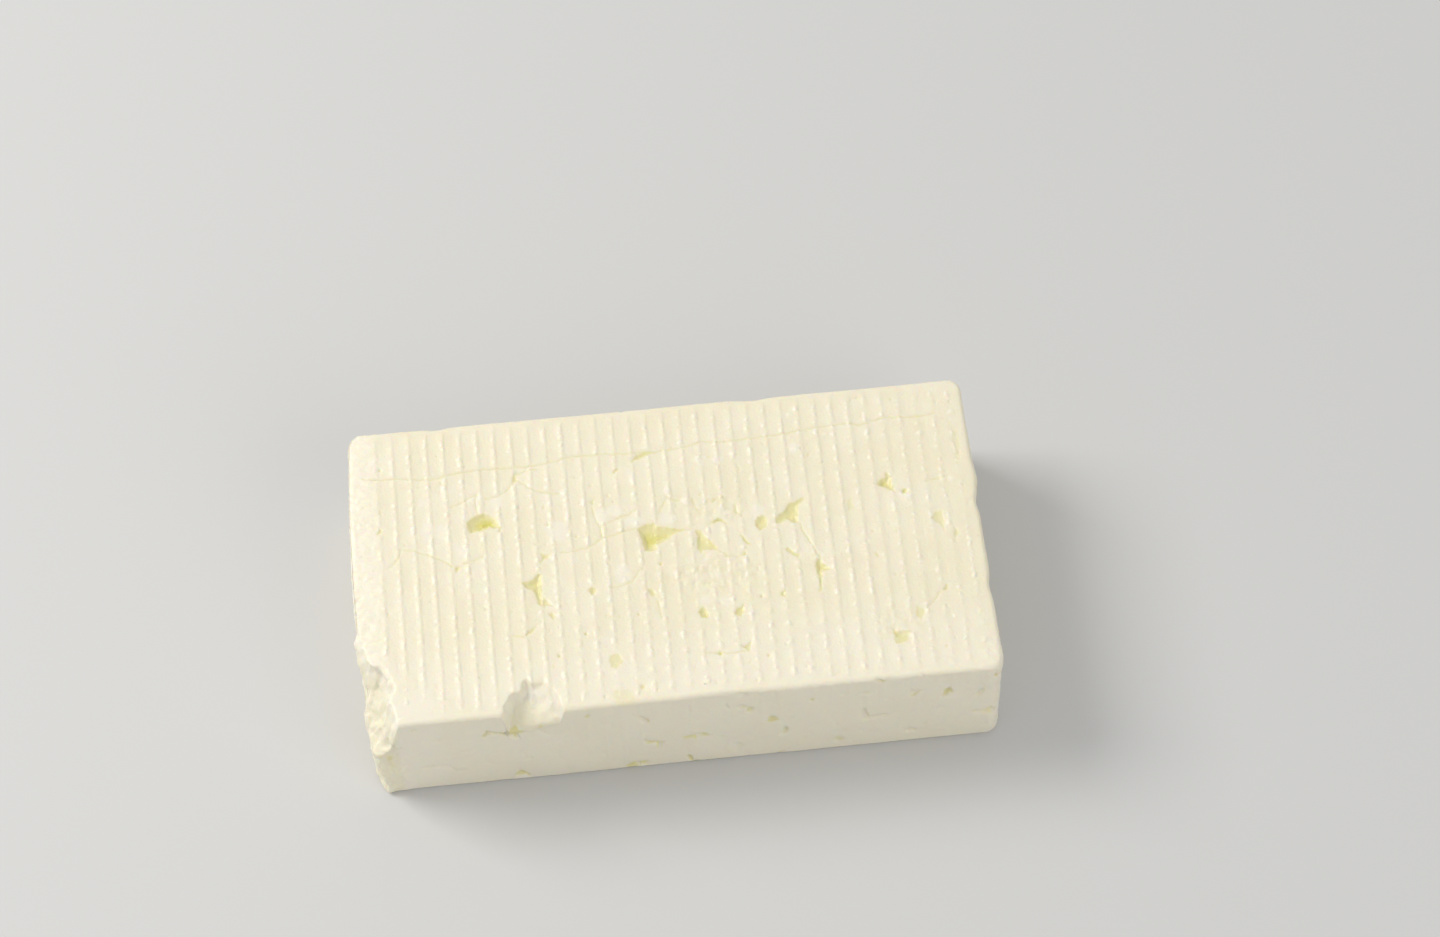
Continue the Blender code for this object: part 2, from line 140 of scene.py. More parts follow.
# A gap is a pit left open between curd grains: its deepest spot, its depth and its rim.
Gap = namedtuple("Gap", "x y depth rim")
GAPS = (
    Gap(-69.4, 19.0, 3.8, ((-78.7, 21.0), (-74.6, 24.0), (-71.1, 24.4), (-67.7, 22.7), (-65.4, 19.8),
                           (-64.0, 14.5), (-66.5, 16.3), (-69.1, 16.9), (-71.6, 16.0), (-75.6, 15.9),
                           (-78.2, 15.4))),
    Gap(-8.0, 4.6, 3.2, ((-12.1, 10.5), (-10.4, 11.7), (-7.6, 12.5), (-4.5, 12.8), (-3.6, 11.0),
                         (-0.2, 10.2), (4.3, 9.1), (8.0, 8.3), (12.5, 8.6), (9.0, 7.6), (5.5, 6.9),
                         (3.0, 6.2), (0.3, 4.2), (-2.0, 2.7), (-4.3, 2.0), (-4.6, 0.3), (-6.2, -0.6),
                         (-8.0, -0.8), (-9.9, 0.3), (-10.3, 3.8), (-11.2, 8.0))),
    Gap(49.2, 10.2, 2.2, ((42.4, 6.2), (43.0, 9.8), (46.3, 12.8), (49.0, 15.8), (53.8, 17.6),
                          (56.4, 18.0), (55.4, 16.0), (53.6, 14.2), (52.4, 10.5), (52.4, 6.3),
                          (49.9, 5.9), (47.3, 7.8), (44.8, 6.6))),
    Gap(-52.8, -9.6, 2.4, ((-59.2, -9.4), (-57.5, -7.9), (-54.6, -7.3), (-52.1, -4.8), (-50.1, -4.8),
                           (-50.4, -11.0), (-50.7, -15.6), (-51.1, -21.8), (-53.2, -18.4),
                           (-54.9, -12.7), (-57.5, -11.3))),
    Gap(-50.0, -18.4, 0.9, ((-50.8, -15.2), (-47.8, -18.6), (-46.6, -21.0), (-49.5, -20.2),
                            (-51.0, -21.6), (-51.6, -18.0))),
    Gap(13.0, 1.5, 1.6, ((10.6, 1.0), (11.4, 4.6), (10.4, 7.8), (11.6, 8.5), (13.4, 7.2), (15.0, 4.8),
                         (17.0, 2.0), (19.4, -0.5), (19.8, -3.0), (16.5, -2.2), (13.5, -2.2),
                         (12.2, -4.6), (11.2, -2.0))),
    Gap(20.6, 10.4, 1.4, ((14.6, 8.6), (17.5, 10.6), (20.5, 12.2), (22.5, 11.6), (25.0, 8.3),
                          (22.5, 9.3), (19.5, 9.6), (17.0, 9.2))),
    Gap(30.3, 0.4, 2.0, ((28.1, 4.2), (30.9, 1.6), (33.0, -1.9), (30.5, -1.5), (28.8, 0.6))),
    Gap(29.3, -5.0, 1.0, ((28.2, -6.4), (28.6, -3.8), (30.4, -3.4), (30.2, -6.0))),
    Gap(36.9, 8.0, 1.6, ((34.5, 9.1), (36.0, 11.2), (38.9, 11.4), (40.4, 9.5), (39.7, 5.7), (37.6, 4.6),
                         (36.4, 4.3), (34.7, 5.9))),
    Gap(57.6, -14.5, 2.4, ((55.9, -11.8), (58.6, -9.6), (60.0, -12.6), (62.9, -16.1), (59.4, -16.4),
                           (58.9, -19.0), (57.6, -25.6), (56.3, -25.7), (56.7, -21.0), (56.9, -18.6),
                           (56.2, -16.6))),
    Gap(48.0, -6.6, 1.6, ((45.1, -5.2), (46.3, -3.4), (48.6, -5.9), (51.2, -7.8), (50.8, -9.4),
                          (48.2, -8.1), (46.0, -6.7))),
    Gap(42.6, -24.0, 2.0, ((41.1, -23.9), (43.7, -21.6), (43.9, -24.4), (43.0, -26.3), (41.2, -25.6))),
    Gap(87.6, 20.7, 2.6, ((83.6, 20.0), (86.0, 22.8), (88.0, 23.6), (88.7, 26.4), (91.0, 23.4),
                          (91.2, 20.0), (91.4, 15.6), (89.2, 17.0), (86.8, 18.3))),
    Gap(-7.6, 43.3, 1.8, ((-13.3, 39.7), (-10.6, 42.6), (-8.8, 44.6), (-5.3, 45.2), (1.0, 44.8),
                          (-2.0, 43.6), (-5.3, 42.5), (-8.7, 41.6), (-11.6, 40.1))),
    Gap(-17.6, 37.7, 1.6, ((-19.3, 35.9), (-18.8, 38.6), (-17.2, 38.9), (-15.7, 38.1), (-17.4, 36.8))),
    Gap(-58.0, 38.0, 1.8, ((-59.8, 34.9), (-59.2, 37.4), (-58.5, 40.2), (-57.4, 40.3), (-56.1, 37.0),
                           (-57.8, 36.9))),
    Gap(-83.2, 0.6, 1.8, ((-85.2, 1.7), (-83.0, 1.4), (-80.4, 2.2), (-82.2, -0.2), (-83.4, -2.0),
                          (-84.4, -0.2))),
    Gap(-83.6, -8.0, 0.9, ((-84.3, -4.0), (-83.0, -7.6), (-83.2, -12.8), (-84.1, -8.6))),
    Gap(-48.9, 1.8, 1.1, ((-50.6, 3.8), (-46.0, 2.9), (-47.4, 0.8), (-49.4, -0.4), (-51.9, -1.9),
                          (-50.2, 0.8))),
    Gap(-57.2, -30.6, 1.0, ((-59.6, -32.4), (-57.6, -29.7), (-52.6, -26.5), (-55.8, -31.1),
                            (-58.3, -32.9))),
    Gap(-47.8, -24.6, 1.0, ((-49.8, -23.8), (-47.6, -22.4), (-45.4, -25.2), (-47.3, -26.7))),
    Gap(-31.3, -15.1, 1.5, ((-33.5, -15.0), (-32.3, -13.6), (-30.9, -13.2), (-29.0, -15.0),
                            (-30.6, -17.1), (-32.5, -16.8))),
    Gap(-7.9, -18.6, 1.0, ((-10.2, -16.7), (-8.2, -16.0), (-6.4, -18.4), (-7.6, -21.3), (-9.4, -19.6))),
    Gap(10.8, -29.2, 1.8, ((8.4, -28.9), (10.2, -26.2), (11.8, -26.6), (13.2, -29.4), (12.3, -32.0),
                           (9.7, -32.4))),
    Gap(24.9, -30.2, 1.4, ((22.3, -30.9), (24.1, -28.3), (26.8, -27.1), (27.1, -30.9), (25.3, -33.2),
                           (23.5, -32.2))),
    Gap(-24.6, -46.8, 0.8, ((-27.6, -44.0), (-24.5, -42.9), (-22.2, -44.2), (-22.1, -48.0),
                            (-24.8, -50.8), (-27.5, -49.2))),
    Gap(26.2, -45.8, 1.0, ((24.3, -45.9), (27.3, -43.2), (28.2, -44.8), (26.8, -48.3), (25.4, -47.2))),
    Gap(26.5, -52.7, 0.7, ((25.5, -54.0), (26.5, -51.1), (27.5, -51.5), (26.6, -53.9))),
    Gap(-112.9, 20.0, 1.3, ((-114.6, 19.2), (-112.4, 22.0), (-111.2, 20.2), (-113.0, 18.2))),
    Gap(-104.8, 10.8, 0.9, ((-105.9, 12.5), (-103.6, 11.1), (-105.0, 8.8))),
    Gap(107.2, 2.4, 0.8, ((103.6, 2.6), (106.0, 5.7), (109.2, 5.6), (109.2, 0.4), (108.6, -4.2),
                          (107.0, -0.6))),
    Gap(113.0, -4.8, 0.8, ((112.2, -1.4), (114.9, -5.2), (112.7, -8.1), (111.6, -6.2))),
    Gap(80.8, -11.2, 0.9, ((79.2, -10.2), (81.7, -10.5), (82.2, -12.6), (80.2, -11.8))),
    Gap(106.2, -28.8, 1.0, ((103.2, -30.4), (106.0, -27.0), (107.6, -27.3), (107.2, -30.2))),
    Gap(94.2, -38.4, 0.7, ((92.1, -39.4), (93.1, -34.9), (96.6, -37.0), (94.8, -42.2))),
    Gap(84.9, -48.2, 0.9, ((82.2, -44.0), (85.6, -45.6), (90.6, -45.0), (88.3, -50.9), (83.1, -51.6))),
    Gap(59.0, -61.6, 0.6, ((56.2, -63.1), (58.9, -60.9), (61.9, -60.1), (59.2, -62.2))),
    Gap(-28.0, 24.6, 1.0, ((-29.3, 24.7), (-26.3, 26.4), (-28.2, 21.8))),
    Gap(31.1, 33.6, 0.8, ((29.6, 37.2), (31.8, 33.8), (31.7, 31.2), (30.5, 33.2))),
    Gap(59.2, 36.9, 0.7, ((58.1, 34.8), (59.0, 37.9), (60.4, 38.8), (60.0, 36.2))),
    Gap(14.8, 23.6, 0.9, ((13.6, 22.6), (15.1, 25.0), (16.0, 23.8), (14.9, 22.2))),
    Gap(23.7, 20.8, 0.8, ((22.6, 21.4), (23.8, 22.2), (24.6, 20.4), (23.6, 19.4))),
    Gap(28.1, 14.2, 1.1, ((26.9, 17.9), (28.3, 17.4), (28.9, 14.2), (31.6, 11.2), (29.2, 11.9),
                          (27.4, 13.4))),
    Gap(-52.5, 43.1, 0.7, ((-55.0, 43.1), (-52.2, 44.0), (-50.2, 43.6), (-52.6, 42.2))),
    Gap(-73.7, 32.2, 0.8, ((-75.0, 32.9), (-71.4, 33.5), (-73.2, 31.6), (-74.3, 30.2))),
    Gap(-64.1, -33.4, 0.7, ((-64.9, -30.2), (-63.5, -32.6), (-63.3, -36.2), (-64.4, -34.2))),
    Gap(-10.9, -7.4, 0.8, ((-12.4, -8.1), (-10.3, -6.2), (-10.1, -8.6))),
    Gap(73.2, 11.6, 0.5, ((71.6, 8.4), (71.5, 14.0), (73.7, 16.0), (75.3, 10.2))),
    Gap(118.2, 35.0, 0.35, ((116.6, 48.0), (119.6, 42.5), (120.6, 36.0), (119.3, 28.5), (117.6, 21.5),
                            (116.8, 28.0), (117.2, 36.0))),
    Gap(-23.4, -62.0, 0.45, ((-27.6, -59.0), (-20.6, -59.2), (-17.6, -63.6), (-20.0, -65.8),
                            (-26.5, -65.8), (-27.4, -62.0))),
)

# A seam is a fine crack where two curds met. Its points are (x, y), and the first one runs
# along the whole block.
SEAMS = (
    ((-118.4, 45.3), (-114, 43.9), (-104.5, 43.4), (-98, 42.4), (-91, 41.8), (-83, 43.1),
     (-72.8, 44.1), (-58.6, 43.6), (-48, 43.7), (-33.7, 46.2), (-23.5, 45.9), (-13.3, 45.1),
     (0.9, 44.8), (11.1, 45.6), (18.5, 47.5), (24.7, 46.2), (39.4, 46.8), (49, 47.1), (64, 48.9),
     (74.8, 49.5), (82, 48), (91.6, 50.3), (106, 49.4), (112, 50.3)),
    ((-110.2, 3.4), (-107.3, 5.7), (-105, 9)),
    ((-103.7, 11), (-99.4, 10.2), (-96, 8.5), (-91.5, 6.2), (-88.1, 4), (-85, 1.6)),
    ((-80.4, 2.2), (-76.7, 3.1), (-72.8, 5.1)),
    ((-83.8, 28.3), (-80.7, 29.5), (-77.3, 31.2), (-74.6, 32.8)),
    ((-73.9, 31), (-74, 27.6), (-73.6, 24)),
    ((-69.9, 30.6), (-66, 30.9), (-62, 32.9), (-59.7, 35.6)),
    ((-56.2, 37), (-51.8, 33.2), (-47.8, 31.2), (-41, 29.8)),
    ((-58, 40.2), (-53.5, 41.6), (-49, 42)),
    ((-28.3, 22), (-28, 18.1), (-26, 12.2), (-25.5, 8)),
    ((-26, 12.8), (-22.3, 14.7), (-13.8, 17.6), (-11.6, 18.7)),
    ((-42.5, 3.1), (-31.7, 4), (-25.5, 7.7), (-17.8, 9.4), (-12.1, 10.5)),
    ((-2.2, 16.5), (0, 20.4), (1.4, 23.4), (6, 21)),
    ((11.4, 21.5), (11.6, 18.8), (13, 16)),
    ((17.4, 19.2), (19.6, 19.8), (22.4, 21.3)),
    ((52.4, 6.3), (53.5, 2), (56.8, -5.8), (58.6, -9.8)),
    ((19.8, -3), (23, -5.4), (27, -6.2), (29.2, -5.1)),
    ((-24, -14.6), (-19.4, -14), (-15.4, -12.8), (-12.4, -8.4)),
    ((-59.5, -32.4), (-62, -32), (-64.2, -31.4)),
    ((103.4, -30.2), (100, -34.6), (97.5, -37)),
    ((104.2, 19.2), (106, 20), (109, 20.2), (113, 21)),
    ((-6.5, -22), (-6, -27), (-5.3, -29.7)),
    ((9.5, -46.8), (14.5, -47.4), (22, -48), (27, -47.6)),
)

# Beads and pinholes that stand out: x, y, radius, and height, below nought for a hole
MARKED_SPOTS = (
    (-71.8, 53.6, 0.8, 0.34), (-79.3, 50.0, 1.0, 0.26), (-31.6, 25.0, 1.4, 0.3),
    (53.6, 55.6, 0.9, 0.5), (54.4, 40.4, 2.0, 0.55), (56.6, 40.0, 0.5, -0.5),
    (105.0, 42.0, 0.9, 0.34), (84.0, 45.0, 1.0, 0.3), (67.0, 45.2, 0.8, 0.3),
    (114.5, 19.5, 1.4, 0.3), (118.5, 50.3, 0.9, 0.3), (8.5, 21.0, 1.5, 0.38),
    (1.7, 26.2, 1.3, 0.32), (15.0, 39.0, 1.3, 0.36), (22.6, 38.6, 1.2, 0.36),
    (29.3, 40.6, 1.3, 0.34), (-38.5, 55.3, 0.9, 0.3), (-31.5, 53.3, 0.8, 0.3),
    (-39.0, 30.0, 1.4, 0.3), (16.0, 59.5, 0.8, 0.3), (36.5, 40.5, 1.0, 0.3),
    (36.0, 35.8, 1.1, 0.3), (95.2, 16.0, 1.0, -1.0), (95.7, 13.5, 1.6, 0.42),
    (93.4, 14.8, 1.1, 0.34), (97.4, 13.6, 1.0, 0.28), (-111.0, 48.2, 0.6, -0.5),
    (-46.4, 16.4, 0.6, -0.5), (-35.4, -33.7, 0.6, -0.7), (-46.5, -42.2, 0.6, -0.7),
    (34.0, -24.6, 0.6, -0.6), (34.0, -50.7, 0.6, -0.5), (-3.9, -6.2, 0.7, -0.6),
    (-15.6, -58.8, 1.1, -0.45), (-14.4, -27.2, 0.7, -0.45), (15.6, -47.9, 0.9, -0.6),
)

# Beads along the ridges and pinholes, drawn at random: how many, and their least and most
BEAD_COUNT = 2400
BEAD_Y = (-62, 60)
BEAD_RADIUS = (0.4, 0.75)
BEAD_HEIGHT = (0.08, 0.3)
PINHOLE_COUNT = 230
PINHOLE_X = (-118, 120)
PINHOLE_Y = (-62, 62)
PINHOLE_RADIUS = (0.3, 0.65)
PINHOLE_HEIGHT = (-0.4, -0.1)

# Where curds show as loose lumps, and where the ridges are pressed flat and the curd is
# paler: the middle (x, y) of each patch and how far it reaches
LUMPY_PATCHES = ((17, -13, 19, 9), (20, 16, 10, 7), (86, -44, 9, 7))
PALE_PATCHES = (
    (-43.0, 13.0, 4.5, 4.5), (-25.5, 17.0, 2.6, 4.6), (-19.5, 19.5, 3.2, 2.6), (-12.5, 13.8, 3.4, 2.6),
    (0.5, 13.4, 3.6, 2.4), (21.5, 13.6, 2.8, 3.2), (36.4, 13.6, 2.8, 2.4), (16.3, 39.0, 2.0, 2.2),
    (23.2, 38.4, 2.2, 2.0), (-66.0, 29.0, 2.6, 3.4), (-19.0, -8.6, 3.2, 4.2), (11.4, -24.0, 2.4, 2.4),
    (19.6, -25.0, 2.4, 2.6), (-94.0, 18.6, 2.6, 4.2), (-88.0, 17.4, 2.4, 3.6), (-75.0, 31.0, 3.0, 1.8),
    (-22.0, -53.0, 6.0, 3.2), (1.6, -55.0, 2.4, 4.2), (-95.0, 31.4, 2.4, 2.0), (-80.6, 8.0, 2.6, 2.6),
)

# A break is a piece knocked off the rim of the block. Its floor starts at depth under its
# rim, and falls away by the slope: so many millimetres down for each one along x and y.
Break = namedtuple("Break", "rim lip depth slope start")
CORNER_BREAK = Break(
    rim=((-140, -13), (-124.8, -14), (-123.2, -22), (-121.4, -30), (-119.4, -37), (-117.5, -38.4),
         (-115, -37.8), (-112.8, -40), (-110.8, -43.5), (-110, -47), (-110.2, -50.8),
         (-111.7, -52.6), (-111.9, -55), (-110.6, -59.4), (-110, -63.4), (-109, -80), (-140, -80)),
    lip=5.0, depth=1.6, slope=(-1.4, -0.55), start=(-112.5, -42))
FRONT_BREAK = Break(
    rim=((-71.4, -80), (-70.6, -65.4), (-69.7, -62), (-68.5, -59.2), (-67.1, -56.9),
         (-65.4, -55.8), (-63.7, -55.8), (-62.3, -54.1), (-61.7, -51.3), (-60.4, -49.7),
         (-59.2, -50.3), (-57.8, -51.7), (-55.8, -51.6), (-53.2, -49.2), (-52.2, -50.6),
         (-50.7, -54.1), (-48.4, -56.9), (-47.6, -60.3), (-46.6, -63.4), (-45.4, -80)),
    lip=2.4, depth=0.5, slope=(-0.28, -0.6), start=(-52, -53.5))
BREAKS = (CORNER_BREAK, FRONT_BREAK)

# The photograph's view, worked out from how the ridges converge
VIEW_TARGET = (23.7, 34.2, 57.5)
VIEW_DISTANCE = 1449.0
VIEW_AZIMUTH = 4.447
VIEW_ELEVATION = 60.0
VIEW_ROLL = 1.62
LENS = 91.14

# The studio: how far the floor reaches, where the lights aim (in metres) and the room's light
FLOOR_REACH = 3000
LIT_SPOT = (0, 0, 0.04)
ROOM_BRIGHTNESS = 0.58

# How many waves a metre each pattern in the curd's colour and grain has
CLOUD_WAVES = 45
SWAY_WAVES = 120
CURD_WAVES = 125
BLOTCH_WAVES = 190
SPECK_WAVES = 900
GRAIN_WAVES = 1500


# Noise and measuring

def smooth_noise(points, size, seed):
    """Soft random values, mostly from -1 to 1, that vary over a size, at 3-D points."""
    slopes = np.random.default_rng(seed).normal(size=(40, 40, 40, 3))
    slopes /= np.linalg.norm(slopes, axis=3, keepdims=True)
    place = points / size
    cell = np.floor(place).astype(int)
    share = place - cell
    ease = share ** 3 * (share * (share * 6 - 15) + 10)
    total = np.zeros(len(points))
    for corner in product((0, 1), repeat=3):
        weight = np.prod(np.where(corner, ease, 1 - ease), axis=1)
        slope = slopes[tuple(((cell + corner) % 40).T)]
        total += weight * np.einsum("ij,ij->i", share - corner, slope)
    return 1.8 * total


def unevenness(points, layers):
    """Layers of noise added up, each given by its height, size and seed."""
    return sum(height * smooth_noise(points, size, seed) for height, size, seed in layers)


def joint_distance(points, size, seed):
    """How far, roughly, each 3-D point is from the joint round its curd."""
    shifts = np.random.default_rng(seed).uniform(0.05, 0.95, (24, 24, 24, 3))
    place = points / size
    cell = np.floor(place).astype(int)
    nearest = np.full(len(points), np.inf)
    second = nearest.copy()
    for step in product((-1, 0, 1), repeat=3):
        other = cell + step
        middle = other + shifts[tuple((other % 24).T)]
        away = np.linalg.norm(place - middle, axis=1)
        second = np.minimum(second, np.maximum(nearest, away))
        nearest = np.minimum(nearest, away)
    return (second - nearest) * size


def hump(value, middle, width):
    """A smooth hump, 1 at its middle and fading over its width."""
    return np.exp(-((value - middle) / width) ** 2)


def rise(value, start, end):
    """A smooth rise from 0 at start to 1 at end."""
    share = np.clip((value - start) / (end - start), 0, 1)
    return share * share * (3 - 2 * share)


def cross(first, second):
    """The cross product of 2-D vectors."""
    return first[..., 0] * second[..., 1] - first[..., 1] * second[..., 0]


def distance_to(points, line):
    """Distance from each 2-D point to the nearest stretch of a line."""
    line = np.asarray(line, float)
    nearest = np.full(len(points), np.inf)
    for start, end in zip(line[:-1], line[1:]):
        run = end - start
        share = np.clip((points - start) @ run / (run @ run), 0, 1)
        gap = points - start - share[:, None] * run
        nearest = np.minimum(nearest, np.hypot(gap[:, 0], gap[:, 1]))
    return nearest


def is_inside(points, loop):
    """Whether each 2-D point lies inside a closed loop."""
    loop = np.asarray(loop, float)
    inside = np.zeros(len(points), bool)
    for start, end in zip(loop, np.roll(loop, -1, axis=0)):
        spans = (start[1] > points[:, 1]) != (end[1] > points[:, 1])
        if spans.any():
            lean = (end[0] - start[0]) / (end[1] - start[1])
            inside ^= spans & (points[:, 0] < start[0] + (points[:, 1] - start[1]) * lean)
    return inside


def near_box(points, loop, margin):
    """Which 2-D points lie within a margin of the box round a loop."""
    loop = np.asarray(loop, float)
    low, high = loop.min(axis=0) - margin, loop.max(axis=0) + margin
    return ((points > low) & (points < high)).all(axis=1)


def on_plan(points):
    """Plan points as 3-D ones at height nought, for the noise."""
    return np.c_[points[:, :2], np.zeros(len(points))]


def warped(points, amount, size, seed):
    """Plan points shifted a little at random, so that what they mark has uneven edges."""
    shift = [amount * smooth_noise(on_plan(points), size, seed + side) for side in (0, 1)]
    return points[:, :2] + np.stack(shift, 1)


def uneven_plan(points):
    """Plan points shifted so that the gaps and seams have uneven edges."""
    return warped(points, 0.5, 2.2, 21)


# The block's outline

def dip_depth(place, dips):
    """How far a side dips in at a place along it."""
    return sum(depth * hump(place, middle, width) for middle, width, depth in dips)


def left_end(y):
    """Where the bulging left end lies at y."""
    return -HALF_LENGTH + LEFT_BULGE * ((y - LEFT_BULGE_Y) / LEFT_BULGE_REACH) ** 2


def right_end(y):
    """Where the right end lies at y: nearly straight, with a bump and two dips."""
    bump = (HALF_LENGTH - RIGHT_END_X) * hump(y, RIGHT_BUMP_Y, RIGHT_BUMP_WIDTH)
    return RIGHT_END_X + bump - dip_depth(y, RIGHT_DIPS)


def back_side(x):
    """Where the back side lies at x: straight, with two shallow dips."""
    return HALF_WIDTH - dip_depth(x, BACK_DIPS)


def front_side(x):
    """Where the front side lies at x: straight, with one long shallow dip."""
    return -HALF_WIDTH + dip_depth(x, FRONT_DIPS)


def fit_outline(plan, height):
    """Move points near the block's sides so that these are uneven, most of all at the top."""
    x, y = plan.T
    fade = 0.3 + 0.7 * height / HEIGHT
    near_left = rise(x, -HALF_LENGTH + OUTLINE_REACH, -HALF_LENGTH)
    near_right = rise(x, HALF_LENGTH - OUTLINE_REACH, HALF_LENGTH)
    near_front = rise(y, -HALF_WIDTH + OUTLINE_REACH, -HALF_WIDTH)
    near_back = rise(y, HALF_WIDTH - OUTLINE_REACH, HALF_WIDTH)
    across = near_left * (left_end(y) + HALF_LENGTH) + near_right * (right_end(y) - HALF_LENGTH) * fade
    along = near_front * (front_side(x) + HALF_WIDTH) + near_back * (back_side(x) - HALF_WIDTH)
    return plan + np.c_[across, along * fade]


# The mesh of a plain rounded block

def evenly(start, end, step):
    """Places from start to end, end left out, about a step apart."""
    count = max(1, round((end - start) / step))
    return list(np.linspace(start, end, count, endpoint=False))


def column_places():
    """Where the face has columns of points: close together on each ridge."""
    places = evenly(-HALF_LENGTH, FIRST_RIDGE_X - RIDGE_REACH, EDGE_STEP)
    between = RIDGE_PITCH - 2 * RIDGE_REACH
    for number in range(RIDGE_COUNT):
        crest = FIRST_RIDGE_X + number * RIDGE_PITCH
        places += list(np.linspace(crest - RIDGE_REACH, crest + RIDGE_REACH, COLUMNS_ON_RIDGE))
        if number < RIDGE_COUNT - 1:
            inner = np.linspace(0, between, COLUMNS_BETWEEN + 2)[1:-1]
            places += list(crest + RIDGE_REACH + inner)
    last = FIRST_RIDGE_X + (RIDGE_COUNT - 1) * RIDGE_PITCH + RIDGE_REACH
    places += evenly(last, HALF_LENGTH, EDGE_STEP)[1:]
    return np.array(places + [HALF_LENGTH])


def row_places():
    """Where the face has rows of points."""
    return np.array(evenly(-HALF_WIDTH, HALF_WIDTH, ROW_STEP) + [HALF_WIDTH])


def border_of(rows, columns):
    """Numbers of the points round a grid, anticlockwise seen from above."""
    grid = np.arange(rows * columns).reshape(rows, columns)
    return np.concatenate([grid[0, :-1], grid[:-1, -1], grid[-1, :0:-1], grid[:0:-1, 0]])


def block_mesh():
    """Points of a sharp-edged block, its quads, its one base polygon and its face's size."""
    xs, ys = column_places(), row_places()
    grid_x, grid_y = np.meshgrid(xs, ys)
    face = np.c_[grid_x.ravel(), grid_y.ravel(), np.full(grid_x.size, FACE_HEIGHT)]
    number = np.arange(grid_x.size).reshape(grid_x.shape)
    quads = [np.stack([number[:-1, :-1], number[:-1, 1:], number[1:, 1:], number[1:, :-1]], 2)
             .reshape(-1, 4)]
    ring = border_of(*grid_x.shape)
    rim = face[ring]
    levels = list(FACE_HEIGHT - np.array(evenly(0, EDGE_ROUNDING, EDGE_STEP)[1:]))
    levels += evenly(FACE_HEIGHT - EDGE_ROUNDING, BASE_ROUNDING, -WALL_STEP)
    levels += evenly(BASE_ROUNDING, 0, -EDGE_STEP) + [0]
    rings = [(rim[:, :2], level) for level in levels]
    for inset in evenly(0, BASE_ROUNDING, EDGE_STEP)[1:] + [BASE_ROUNDING]:
        shrink = 1 - inset / np.array([HALF_LENGTH, HALF_WIDTH])
        rings.append((rim[:, :2] * shrink, 0))
    points = [face]
    for plan, level in rings:
        first = sum(len(part) for part in points)
        lower = np.arange(first, first + len(ring))
        quads.append(np.stack([ring, lower, np.roll(lower, -1), np.roll(ring, -1)], 1))
        points.append(np.c_[plan, np.full(len(plan), level)])
        ring = lower
    return np.concatenate(points), np.concatenate(quads), ring[::-1], grid_x.size


def rounded(points):
    """Round the corners and edges of a sharp block: the new points, and how far each faces up."""
    plan = points[:, :2]
    limit = np.array([HALF_LENGTH, HALF_WIDTH]) - CORNER_RADIUS
    inner = np.clip(plan, -limit, limit)
    offset = plan - inner
    size = np.hypot(*offset.T)
    square = np.abs(offset).max(axis=1)
    outward = offset / np.maximum(size, 1e-9)[:, None]
    inset = CORNER_RADIUS - square
    plan = inner + outward * square[:, None]
    height = points[:, 2]
    for depth, edge, sign in ((FACE_HEIGHT - height, EDGE_ROUNDING, 1), (height, BASE_ROUNDING, -1)):
        reach_in = np.clip(edge - inset, 0, None)
        reach_up = np.clip(edge - depth, 0, None)
        size = np.maximum(np.hypot(reach_in, reach_up), 1e-9)
        bent = (reach_in > 0) & (reach_up > 0)
        new_in, new_up = edge * reach_in / size, edge * reach_up / size
        plan = plan + np.where(bent, new_in - reach_in, 0)[:, None] * outward
        height = height + sign * np.where(bent, new_up - reach_up, 0)
    facing = np.clip(1 - (FACE_HEIGHT - height) / EDGE_ROUNDING, 0, 1)
    facing[(points[:, 2] >= FACE_HEIGHT) & (inset >= EDGE_ROUNDING)] = 1
    return np.c_[fit_outline(plan, height), height], facing


def ways_out(points, quads):
    """The way straight out of the surface at each point."""
    corners = points[quads]
    tilt = np.cross(corners[:, 2] - corners[:, 0], corners[:, 3] - corners[:, 1])
    way = np.zeros_like(points)
    for side, axis in product(range(4), range(3)):
        way[:, axis] += np.bincount(quads[:, side], tilt[:, axis], len(points))
    return way / np.maximum(np.linalg.norm(way, axis=1), 1e-9)[:, None]


# What marks the face

def gap_share(gap, points):
    """How far out in a gap each point is: 0 at its deepest spot and 1 at its rim."""
    offset = points - (gap.x, gap.y)
    rim = np.array(gap.rim) - (gap.x, gap.y)
    share = np.full(len(points), np.inf)
    for start, end in zip(rim, np.roll(rim, -1, axis=0)):
        turn = np.sign(cross(start, end))
        within = (turn * cross(start, offset) >= 0) & (turn * cross(offset, end) >= 0)
        share[within] = (cross(offset, end - start) / cross(start, end - start))[within]
    return share


def gap_marks(points):
    """How deep the gaps are at each plan point, and how wet with whey, from 0 to 1."""
    depth, wet = np.zeros((2, len(points)))
    for gap in GAPS:
        close = near_box(points, gap.rim, 0)
        way_in = 1 - gap_share(gap, points[close])
        away = distance_to(points[close], gap.rim + gap.rim[:1]) * (way_in > 0)
        floor = gap.depth * (0.24 * rise(way_in, 0, 0.3) + 0.34 * rise(way_in, 0, 1))
        floor = np.minimum(floor, GAP_WALL_SLOPE * away + GAP_WALL_CURVE * away ** 2)
        depth[close] = np.maximum(depth[close], floor)
        wetness = min(gap.depth, FULLY_WET_DEPTH) / FULLY_WET_DEPTH
        wet[close] = np.maximum(wet[close], wetness * rise(away, 0, WET_REACH))
    return depth, wet


